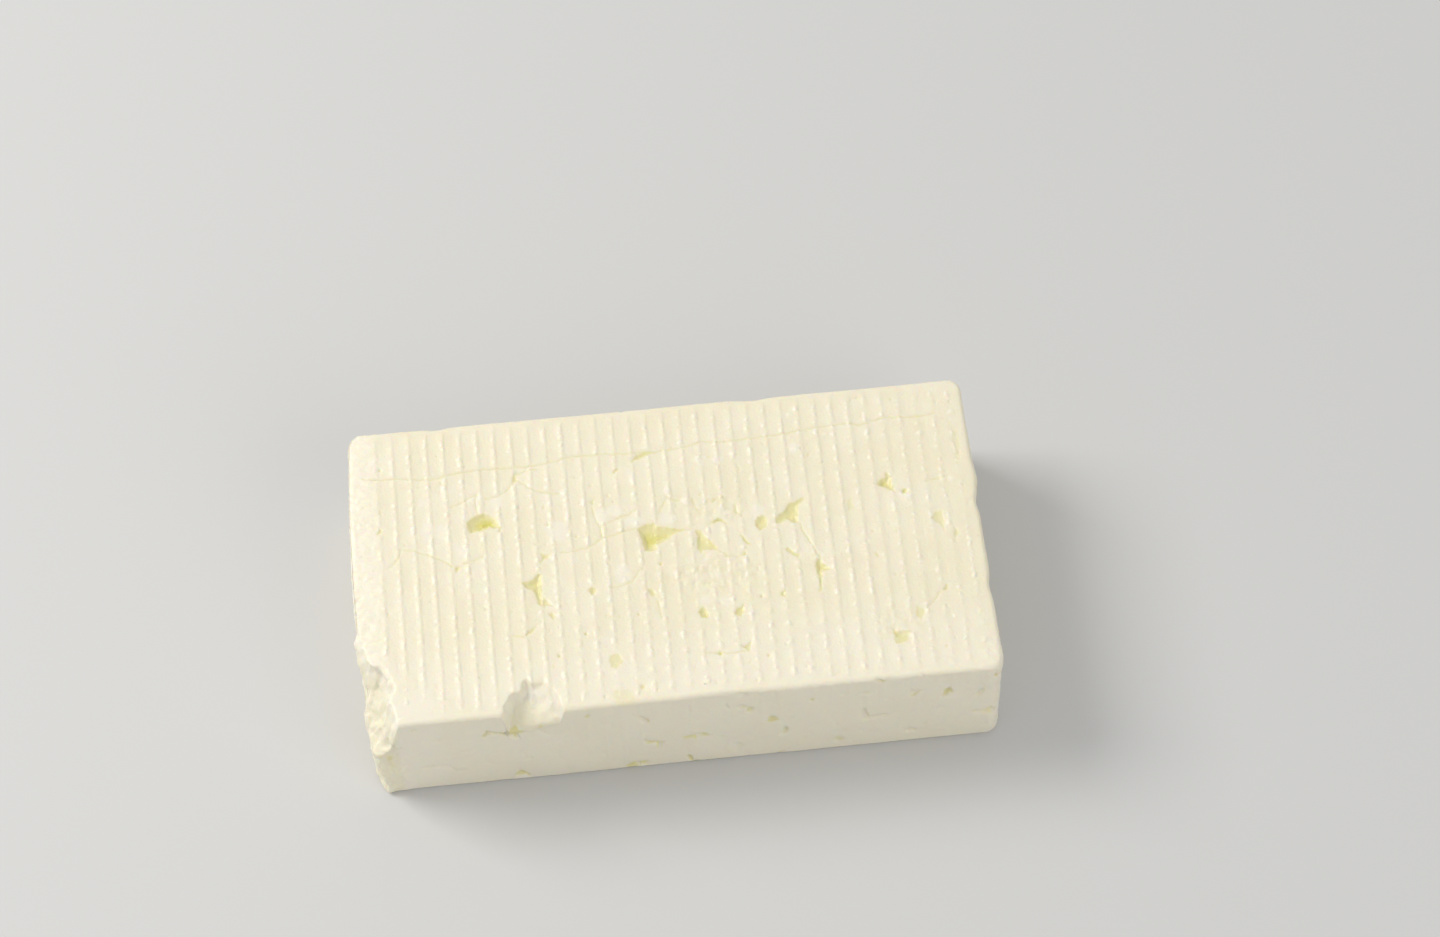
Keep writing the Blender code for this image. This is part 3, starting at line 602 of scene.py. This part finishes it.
def seam_share(points):
    """How much of a seam each plan point is: 1 in the middle of one and 0 beside it."""
    share = np.zeros(len(points))
    for seam in SEAMS:
        close = near_box(points, seam, SEAM_WIDTH)
        away = distance_to(points[close], seam)
        share[close] = np.maximum(share[close], np.clip(1 - 2 * away / SEAM_WIDTH, 0, 1))
    return share


def clear_of_marks(points):
    """1 away from gaps and seams and 0 at them, because the ridges stop there."""
    clear = np.ones(len(points))
    for gap in GAPS:
        close = near_box(points, gap.rim, 2)
        away = distance_to(points[close], gap.rim + gap.rim[:1])
        away[is_inside(points[close], gap.rim)] = 0
        clear[close] *= rise(away, 0.1, 1.4)
    for seam in SEAMS:
        close = near_box(points, seam, 2)
        clear[close] *= rise(distance_to(points[close], seam), 0.1, 1.1)
    return clear


def ridge_front_end(x):
    """Where the ridges stop in front: the corner at front left is worn smooth."""
    return np.where(x < WORN_CORNER_END_X, np.interp(x, *WORN_CORNER), FRONT_RIDGE_END)


def knot_share(points, track):
    """How much the ridges at each point are a chain of knots, and how much of a knot it is."""
    x, y = points[:, :2].T
    chain = rise(y, -16, -28) * rise(x, -54, -38) * rise(x, 68, 52)
    from_row = y - KNOT_ROW_Y + 0.9 * smooth_noise(track, 5.0, 16)
    return chain, rise(np.cos(2 * np.pi * from_row / KNOT_PITCH), 0.0, 0.8)


def bar_strength(points, track, beyond):
    """How strongly the bars stand out: beaded, faded here and there, and flat in patches."""
    beading = np.where(beyond, BACK_BEADING, BEADING)
    strength = 0.9 + beading * smooth_noise(track, 1.5, 13) + 0.3 * smooth_noise(track, 6.0, 14)
    strength *= 1 - 0.85 * rise(smooth_noise(track, 9.0, 15), 0.55, 0.85)
    strength *= (1 - 0.7 * lumpy_share(points)) * (1 - 0.8 * pale_share(points))
    return strength * clear_of_marks(points[:, :2])


def ridge_height(points):
    """How high the ridges stand, and the dishes between them sink, at each point of the face."""
    x, y = points[:, :2].T
    number = np.clip(np.round((x - FIRST_RIDGE_X) / RIDGE_PITCH), 0, RIDGE_COUNT - 1)
    crest = FIRST_RIDGE_X + number * RIDGE_PITCH
    track = np.c_[number * 7.3, y, np.zeros(len(y))]
    beyond = y > np.interp(x, *np.array(SEAMS[0]).T)
    shift = 0.25 + 0.15 * smooth_noise(track, 8.0, 12)
    shift += np.where(beyond, 0.25 * smooth_noise(np.c_[number * 5.1, np.zeros((len(y), 2))], 1.0, 11), 0)
    across = x - crest - shift
    chain, knot = knot_share(points, track)
    spread = np.interp(x, *BAR_WIDTHS)
    spread *= np.where(across < 0, LEFT_SIDE_WIDENING, 1 + 0.5 * chain * knot)
    worn = np.interp(x, *BAR_WEAR)
    worn *= rise(y, ridge_front_end(crest) - 1, ridge_front_end(crest) + 3)
    worn *= rise(y, BACK_RIDGE_END, BACK_RIDGE_END - 2.5)
    strength = bar_strength(points, track, beyond) * (1 + chain * (1.1 * knot - 0.75))
    bar = hump(across, 0, spread) * np.clip(strength, 0, 1.4)
    between = np.mod((x - FIRST_RIDGE_X) / RIDGE_PITCH, 1) * 2 - 1
    dish = (1 - between ** 2) * (x > FIRST_RIDGE_X) * (x < HALF_LENGTH - 12)
    return worn * (RIDGE_HEIGHT * bar - DISH_DEPTH * dish)


def lumpy_share(points):
    """How much each point of the face is in a patch of loose lumps."""
    share = np.zeros(len(points))
    for x, y, across, along in LUMPY_PATCHES:
        share += np.exp(-((points[:, 0] - x) / across) ** 2 - ((points[:, 1] - y) / along) ** 2)
    return np.clip(1.4 * share, 0, 1)


def pale_share(points):
    """How much each point of the face is in a patch that is pressed flat."""
    plan = warped(points, 0.8, 3.0, 61)
    share = np.zeros(len(points))
    for x, y, across, along in PALE_PATCHES:
        away = np.hypot((plan[:, 0] - x) / across, (plan[:, 1] - y) / along)
        share = np.maximum(share, rise(away, 1.15, 0.85))
    return share


def scattered_spots():
    """Beads along the ridges and pinholes all over: x, y, radius and height of each."""
    random = np.random.default_rng(61)
    number = random.integers(0, RIDGE_COUNT, BEAD_COUNT)
    beads = [FIRST_RIDGE_X + number * RIDGE_PITCH + random.normal(-0.35, 0.25, BEAD_COUNT)]
    beads += [random.uniform(*ends, BEAD_COUNT) for ends in (BEAD_Y, BEAD_RADIUS, BEAD_HEIGHT)]
    holes = [random.uniform(*ends, PINHOLE_COUNT)
             for ends in (PINHOLE_X, PINHOLE_Y, PINHOLE_RADIUS, PINHOLE_HEIGHT)]
    return np.concatenate([np.transpose(beads), np.transpose(holes), MARKED_SPOTS])


def spot_relief(points):
    """How high the beads stand and how deep the pinholes are at each point of the face."""
    order = np.argsort(points[:, 0])
    sorted_x = points[order, 0]
    relief = np.zeros(len(points))
    for x, y, radius, lift in scattered_spots():
        first, last = np.searchsorted(sorted_x, (x - 2.5 * radius, x + 2.5 * radius))
        near = order[first:last]
        away = np.hypot(points[near, 0] - x, points[near, 1] - y)
        relief[near] += lift * hump(away, 0, radius)
    return relief


def break_depth(points):
    """How much has broken away at each plan point, from the face down."""
    uneven = warped(points, 0.5, 3.4, 51)
    depth = np.zeros(len(points))
    for piece in BREAKS:
        close = near_box(uneven, piece.rim, 0)
        plan = uneven[close]
        way_in = rise(distance_to(plan, piece.rim), 0, piece.lip)
        fall = (plan - piece.start) @ np.array(piece.slope)
        floor = way_in * (piece.depth + np.maximum(fall, 0))
        depth[close] = np.maximum(depth[close], np.where(is_inside(plan, piece.rim), floor, 0))
    return depth


def shape_face(points, facing):
    """Give the face its swells, ridges, gaps, seams and spots."""
    flat = on_plan(points)
    uneven = uneven_plan(points)
    x, y = flat[:, :2].T
    height = DISH_DEPTH / 2 + SWELL * (np.sin(x / 23 + 1.3) * np.sin(y / 17 + 0.4) - 1)
    height -= SHOULDER_DROP * np.clip((SHOULDER_X - x) / SHOULDER_REACH, 0, 1) ** 1.5
    height += unevenness(flat, FACE_LAYERS) + lumpy_share(flat) * unevenness(flat, LUMP_LAYERS)
    height -= SEAM_DEPTH * seam_share(uneven)
    height += ridge_height(flat) + spot_relief(flat)
    height -= gap_marks(uneven)[0]
    return points + np.c_[np.zeros((len(points), 2)), height * facing ** 2]


def broken_share(points):
    """How much each point belongs to a broken surface: at the chip in front, only its floor."""
    depth = break_depth(points[:, :2])
    under = FACE_HEIGHT - depth - points[:, 2] + 1.5 * smooth_noise(points, 5.0, 52)
    reach = np.where(points[:, 0] < -100, HEIGHT, 3)
    return rise(depth, 0.3, 1.6) * rise(under, reach + 3, reach)


def grainy_share(points):
    """How grainy the moulded surface is: most at the left end and at the front right corner."""
    x, y = points[:, :2].T
    corner = rise(x, 106, 120) * rise(y, -44, -58)
    return np.maximum(rise(x, -111.5, -116.5), 0.7 * corner)


def wall_pits(points):
    """How deep the open curd joints of the walls are at each point."""
    uneven = points + 1.2 * smooth_noise(points, 5.0, 42)[:, None]
    away = joint_distance(uneven, JOINT_SPACING, 41)
    is_open = rise(away, 2.6, 0.3) * rise(smooth_noise(points, 9.0, 47), 0.3, 0.8)
    return JOINT_DEPTH * is_open + CRACK_DEPTH * rise(away, 0.6, 0.0)


def wall_relief(points, way):
    """How far the walls stand out or in: swells, curd joints and the mould's faint ribs."""
    move = 0.4 * smooth_noise(points, 24.0, 43) - WALL_INSET
    move += 0.1 * smooth_noise(points, 3.6, 44) - wall_pits(points)
    number = np.round((points[:, 0] - FIRST_RIDGE_X) / RIDGE_PITCH)
    shift = 0.3 * smooth_noise(np.c_[number * 6.1, points[:, 2], np.zeros(len(points))], 9.0, 45)
    rib = hump(points[:, 0], FIRST_RIDGE_X + number * RIDGE_PITCH + shift, WALL_RIB_WIDTH)
    rib *= np.abs(way[:, 1]) > 0.8
    rib *= rise(smooth_noise(points, 20.0, 46), -0.7, 0.5)
    return move + WALL_RIB_HEIGHT * rib * np.interp(points[:, 2], (2, 20, 56), (0.2, 0.6, 1.0))


def roughen(points, quads, facing):
    """Move the surface straight in and out by the walls' relief, broken curd and grain."""
    way = ways_out(points, quads)
    broken = broken_share(points)
    grainy = grainy_share(points) * (1 - broken)
    wall = (1 - facing) * (1 - broken)
    uneven = points + 0.9 * smooth_noise(points, 3.4, 31)[:, None]
    joint = rise(joint_distance(uneven, CURD_SIZE, 32), 0.7, 0.0)
    deep = 0.3 + 0.7 * rise(points[:, 0], -90, -110)
    crag = deep * (1.3 * smooth_noise(points, 11.0, 36) + 0.8 * smooth_noise(uneven, 4.6, 37))
    crag += 0.12 * smooth_noise(points, 1.9, 38) - 0.2 * deep * joint
    move = broken * crag + wall * wall_relief(points, way)
    move += 0.24 * grainy * smooth_noise(points * (0.6, 1, 1), 1.6, 34)
    move += (0.025 * facing + 0.06 * broken + 0.04 * grainy) * smooth_noise(points, 1.1, 35)
    standing = rise(points[:, 2], 0.2, 2.5)
    return points + way * (move * standing)[:, None]


def build_surface():
    """The block's whole surface as points, quads and the base polygon."""
    sharp, quads, base, face_count = block_mesh()
    points, facing = rounded(sharp)
    points[:face_count] = shape_face(points[:face_count], facing[:face_count])
    points[:, 2] *= 1 - break_depth(points) / FACE_HEIGHT
    return roughen(points, quads, facing), quads, base


def thin_out(piece, triangles):
    """Merge the flattest triangles until about so many are left."""
    full = sum(len(polygon.vertices) - 2 for polygon in piece.data.polygons)
    thin = piece.modifiers.new("thin", "DECIMATE")
    thin.ratio = triangles / full
    graph = bpy.context.evaluated_depsgraph_get()
    mesh = bpy.data.meshes.new_from_object(piece.evaluated_get(graph))
    piece.modifiers.clear()
    piece.data = mesh


def wall_share(points):
    """How much each point belongs to the walls rather than to the face."""
    inset = np.minimum(HALF_LENGTH - np.abs(points[:, 0]), HALF_WIDTH - np.abs(points[:, 1]))
    return rise(inset, 3.0, 1.5) * rise(points[:, 2], FACE_HEIGHT - 1.5, FACE_HEIGHT - 3)


def whey_share(points, wall, broken):
    """How wet each point is: in gaps, seams, pinholes, wall joints, breaks and loose lumps."""
    plan = uneven_plan(points)
    depth, wet = gap_marks(plan)
    whey = 0.5 * wet + 0.5 * rise(depth, 0.9, 2.1) + 0.35 * seam_share(plan)
    whey += 0.6 * rise(-spot_relief(points), 0.12, 0.5)
    whey = (1 - wall) * whey + wall * 0.5 * rise(wall_pits(points), 0.1, 1.0)
    whey += 0.12 * broken * rise(break_depth(points), 3, 10)
    patchy = rise(smooth_noise(points, 3.0, 62), -0.2, 0.5)
    return np.clip(whey + 0.12 * (1 - wall) * lumpy_share(points) * patchy, 0, 1)


def torn_and_lit_share(points, wall, broken):
    """How pale each point is: from tearing, wear and grain at breaks, patches, beads and the grainy ends,
    plus painted light at the front left corner, along the front and towards the left end.
    """
    x, y = points[:, :2].T
    # Painted light: the front left corner, a band along the front and the left end are painted paler, as
    # if more strongly lit there.
    corner = rise(x, -80, -100) * rise(y, -42, -56)
    front = 0.6 * rise(y, -25, -52)
    left = 0.35 * rise(x, -92, -116)
    light = np.maximum(0.9 * pale_share(points), rise(spot_relief(points), 0.05, 0.2))
    grainy = 0.8 * grainy_share(points)
    return np.max([broken, corner, front, left, light * (1 - wall), grainy], axis=0)


def paint(mesh):
    """Store how wet with whey each point is, and how pale from tearing and from painted light."""
    points = np.zeros(len(mesh.vertices) * 3)
    mesh.vertices.foreach_get("co", points)
    points = points.reshape(-1, 3) / MM
    wall, broken = wall_share(points), broken_share(points)
    for name, share in (("whey", whey_share), ("torn_and_lit", torn_and_lit_share)):
        layer = mesh.attributes.new(name, "FLOAT", "POINT")
        layer.data.foreach_set("value", share(points, wall, broken).astype(np.float32))


# Materials

class Nodes:
    """A short way to add and join the nodes of one material."""

    def __init__(self, name):
        self.material = bpy.data.materials.new(name)
        self.material.use_nodes = True
        self.tree = self.material.node_tree
        self.shader = self.tree.nodes["Principled BSDF"]

    def add(self, kind, settings=(), **sockets):
        """Add a node, set its options, and join or set its inputs."""
        node = self.tree.nodes.new(kind)
        for option, value in dict(settings).items():
            setattr(node, option, value)
        for socket, value in sockets.items():
            self.give(node.inputs[socket.replace("_", " ")], value)
        return node

    def give(self, socket, value):
        """Join an output to a socket, or set the socket's value."""
        if isinstance(value, bpy.types.NodeSocket):
            self.tree.links.new(value, socket)
        else:
            socket.default_value = value

    def noise(self, place, per_metre, detail=2.0, roughness=0.5):
        """A noise of so many waves a metre."""
        node = self.add("ShaderNodeTexNoise", Vector=place, Scale=per_metre, Detail=detail,
                        Roughness=roughness)
        return node.outputs["Fac"]

    def mix(self, factor, first, second, blend="MIX"):
        """Mix two colours."""
        node = self.tree.nodes.new("ShaderNodeMix")
        node.data_type = "RGBA"
        node.blend_type = blend
        for number, value in ((0, factor), (6, first), (7, second)):
            self.give(node.inputs[number], value)
        return node.outputs[2]

    def span(self, value, low, high, to_low=0.0, to_high=1.0):
        """Map a value from one range to another, held to its ends."""
        node = self.add("ShaderNodeMapRange", Value=value, From_Min=low, From_Max=high,
                        To_Min=to_low, To_Max=to_high)
        return node.outputs["Result"]

    def layer(self, name):
        """A value stored on the mesh."""
        return self.add("ShaderNodeAttribute", {"attribute_name": name}).outputs["Fac"]


CREAM = (0.86, 0.802, 0.62, 1.0)
PALE_CREAM = (0.89, 0.84, 0.705, 1.0)
WARM_CREAM = (0.83, 0.768, 0.572, 1.0)
WHEY = (0.80, 0.745, 0.42, 1.0)
DEEP_WHEY = (0.74, 0.685, 0.22, 1.0)


def cheese_material():
    """Moist ivory curd: soft inside, mottled, grainy where broken, yellow with whey in gaps, and paler
    where broken, worn and where painted light falls.
    """
    nodes = Nodes("moist_feta")
    place = nodes.add("ShaderNodeTexCoord").outputs["Object"]
    whey, torn_and_lit = nodes.layer("whey"), nodes.layer("torn_and_lit")
    clouds = nodes.noise(place, CLOUD_WAVES, 3.0)
    blotches = nodes.noise(place, BLOTCH_WAVES, 3.0, 0.6)
    specks = nodes.noise(place, SPECK_WAVES, 2.0)
    sway = nodes.add("ShaderNodeTexNoise", Vector=place, Scale=SWAY_WAVES, Detail=1.0)
    bent = nodes.add("ShaderNodeMixRGB", {"blend_type": "LINEAR_LIGHT"}, Fac=0.004)
    nodes.give(bent.inputs["Color1"], place)
    nodes.give(bent.inputs["Color2"], sway.outputs["Color"])
    curds = nodes.add("ShaderNodeTexVoronoi", Vector=bent.outputs["Color"], Scale=CURD_WAVES)
    tone = nodes.add("ShaderNodeSeparateColor", Color=curds.outputs["Color"]).outputs["Red"]
    colour = nodes.mix(nodes.span(clouds, 0.35, 0.65, 0.0, 0.5), CREAM, PALE_CREAM)
    colour = nodes.mix(nodes.span(tone, 0, 1, 0.0, 0.28), colour, WARM_CREAM)
    colour = nodes.mix(nodes.span(blotches, 0.55, 0.8, 0.0, 0.3), colour, WARM_CREAM)
    # Paler where the curd is broken, worn or grainy, and painted light: paler at the front left corner,
    # along the front and towards the left end.
    colour = nodes.mix(nodes.span(torn_and_lit, 0, 1, 0.0, 0.9), colour, PALE_CREAM)
    colour = nodes.mix(nodes.span(whey, 0, 0.5), colour, WHEY)
    colour = nodes.mix(nodes.span(whey, 0.5, 1), colour, DEEP_WHEY)
    nodes.give(nodes.shader.inputs["Base Color"], colour)
    damp = nodes.span(blotches, 0.35, 0.7, 0.38, 0.5)
    wetter = nodes.add("ShaderNodeMath", {"operation": "MULTIPLY_ADD"})
    for socket, value in zip(wetter.inputs, (whey, -0.2, damp)):
        nodes.give(socket, value)
    nodes.give(nodes.shader.inputs["Roughness"], wetter.outputs["Value"])
    grain = nodes.noise(place, GRAIN_WAVES, 3.0, 0.6)
    fine = nodes.add("ShaderNodeBump", Strength=0.35, Distance=0.00012, Height=grain)
    coarse = nodes.add("ShaderNodeBump", Strength=0.5, Distance=0.0002, Height=specks,
                       Normal=fine.outputs["Normal"])
    nodes.give(nodes.shader.inputs["Normal"], coarse.outputs["Normal"])
    for socket, value in (("Subsurface Weight", 0.7), ("Subsurface Scale", 0.0007), ("IOR", 1.40),
                          ("Subsurface Radius", (1.0, 0.72, 0.42)), ("Coat Weight", 0.12),
                          ("Coat Roughness", 0.22)):
        nodes.shader.inputs[socket].default_value = value
    return nodes.material


def floor_material():
    """A plain pale tabletop, very slightly uneven in gloss."""
    nodes = Nodes("pale_floor")
    place = nodes.add("ShaderNodeTexCoord").outputs["Object"]
    nodes.shader.inputs["Base Color"].default_value = (0.62, 0.62, 0.61, 1.0)
    nodes.give(nodes.shader.inputs["Roughness"], nodes.span(nodes.noise(place, 8), 0, 1, 0.5, 0.62))
    return nodes.material


# Pieces

def make_piece(name, points, faces, material):
    """A smooth mesh object from points in millimetres."""
    mesh = bpy.data.meshes.new(name)
    mesh.from_pydata((points * MM).tolist(), [], faces)
    mesh.materials.append(material)
    mesh.shade_smooth()
    piece = bpy.data.objects.new(name, mesh)
    bpy.context.collection.objects.link(piece)
    return piece


def add_block(material):
    """The whole block in place of its plain solid."""
    points, quads, base = build_surface()
    block = make_piece("feta_curd", points, quads.tolist() + [base.tolist()], material)
    thin_out(block, KEPT_TRIANGLES)
    paint(block.data)
    block.data.shade_smooth()
    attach(block, "root")
    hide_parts("feta_block")


# Studio

def add_floor():
    """A wide floor under the block."""
    points = FLOOR_REACH * np.array([(-1, -1, 0), (1, -1, 0), (1, 1, 0), (-1, 1, 0)])
    floor = make_piece("floor", points, [(0, 1, 2, 3)], floor_material())


def add_light(name, place, size, power, colour):
    """A soft square light that faces the block, its place and size in metres."""
    light = bpy.data.lights.new(name, "AREA")
    light.size = size
    light.energy = power
    light.color = colour
    lamp = bpy.data.objects.new(name, light)
    lamp.location = Vector(place)
    aim = Vector(LIT_SPOT) - lamp.location
    lamp.rotation_euler = aim.to_track_quat("-Z", "Y").to_euler()
    bpy.context.collection.objects.link(lamp)


def add_lights():
    """Soft light from the upper left behind the block, a weak fill, and a bright room."""
    add_light("key", place=(-1.8, 0.8, 1.9), size=1.3, power=44, colour=(1.0, 0.985, 0.965))
    add_light("fill", place=(1.3, -1.7, 1.6), size=1.6, power=12, colour=(1.0, 0.99, 0.985))
    world = bpy.data.worlds.new("room")
    world.use_nodes = True
    background = world.node_tree.nodes["Background"].inputs
    background["Color"].default_value = (1.0, 1.0, 1.0, 1.0)
    background["Strength"].default_value = ROOM_BRIGHTNESS
    bpy.context.scene.world = world
    bpy.context.scene.view_settings.view_transform = "Standard"


def add_camera():
    """The photograph's camera: high in front of the block, turned a little and rolled."""
    data = bpy.data.cameras.new("camera")
    data.lens = LENS
    data.sensor_width = 36.0
    data.clip_start, data.clip_end = 0.05, 20.0
    camera = bpy.data.objects.new("camera", data)
    azimuth, elevation = radians(VIEW_AZIMUTH), radians(VIEW_ELEVATION)
    ahead = Vector((sin(azimuth) * cos(elevation), cos(azimuth) * cos(elevation), -sin(elevation)))
    place = (Vector(VIEW_TARGET) - VIEW_DISTANCE * ahead) * MM
    turn = ahead.to_track_quat("-Z", "Y").to_matrix()
    roll = Matrix.Rotation(radians(VIEW_ROLL), 3, ahead)
    camera.matrix_world = Matrix.Translation(place) @ (roll @ turn).to_4x4()
    bpy.context.collection.objects.link(camera)
    bpy.context.scene.camera = camera


add_block(cheese_material())
add_floor()
add_lights()
add_camera()
